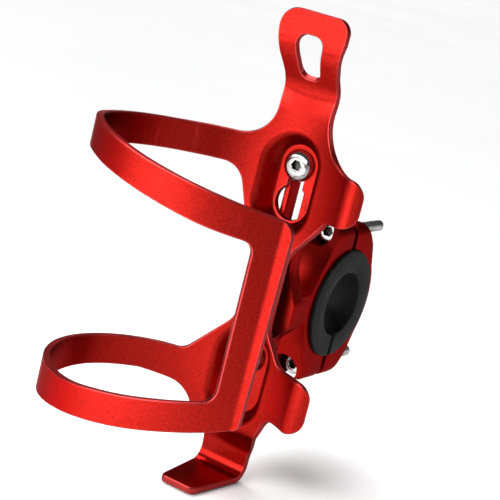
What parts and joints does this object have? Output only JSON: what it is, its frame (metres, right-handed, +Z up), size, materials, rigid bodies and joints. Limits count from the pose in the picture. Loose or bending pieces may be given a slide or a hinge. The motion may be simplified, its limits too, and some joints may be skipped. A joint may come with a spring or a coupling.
{
  "type": "bottle cage with handlebar clamp",
  "caption": "Open, side-entry bottle cage of formed sheet metal, bolted through a keyhole and a slot to a slim bracket with a split clamp and a rubber sleeve for a handlebar.",
  "frame": {"origin": "centre of the handlebar bore, on the plane where the clamp splits", "axes": "+X along the handlebar, towards the side where the bottle goes in; +Y from the bottle towards the clamp's cap; +Z up along the bottle"},
  "size_m": [0.0769, 0.1526, 0.152],
  "materials": {
    "cage_anodise": "bead-blasted sheet, satin red anodise with bright cut edges",
    "clamp_anodise": "machined, bead-blasted, satin red anodise",
    "sleeve_rubber": "matt moulded black rubber",
    "screw_steel": "bright zinc-plated steel with rolled thread",
    "bolt_steel": "polished stainless steel"
  },
  "bodies": {
    "bracket": {"clamp_body": "clamp_anodise", "rubber_sleeve": "sleeve_rubber", "slot_nut": "screw_steel"},
    "cage": {"bottle_cage": "cage_anodise"},
    "cap": {"clamp_cap": "clamp_anodise"},
    "upper_screw": {"clamp_screw_upper": "screw_steel"},
    "lower_screw": {"clamp_screw_lower": "screw_steel"},
    "upper_bolt": {"cage_bolt_upper": "bolt_steel"},
    "lower_bolt": {"cage_bolt_lower": "bolt_steel"}
  },
  "joints": [
    {"name": "cage_lift", "type": "slide", "parent": "bracket", "child": "cage", "axis": [0, 0, 1], "range_m": [0, 0.0122]},
    {"name": "cap_release", "type": "slide", "parent": "bracket", "child": "cap", "axis": [0, 1, 0], "range_m": [0, 0.02]},
    {"name": "upper_screw_turn", "type": "hinge", "parent": "bracket", "child": "upper_screw", "pos_m": [0, 0.01, 0.02375], "axis": [0, -1, 0], "continuous": true},
    {"name": "lower_screw_turn", "type": "hinge", "parent": "bracket", "child": "lower_screw", "pos_m": [0, 0.01, -0.02375], "axis": [0, -1, 0], "continuous": true},
    {"name": "upper_bolt_turn", "type": "hinge", "parent": "bracket", "child": "upper_bolt", "pos_m": [0, -0.034, 0.0475], "axis": [0, -1, 0], "continuous": true},
    {"name": "lower_bolt_turn", "type": "hinge", "parent": "bracket", "child": "lower_bolt", "pos_m": [0, -0.034, -0.0165], "axis": [0, -1, 0], "continuous": true}
  ]
}
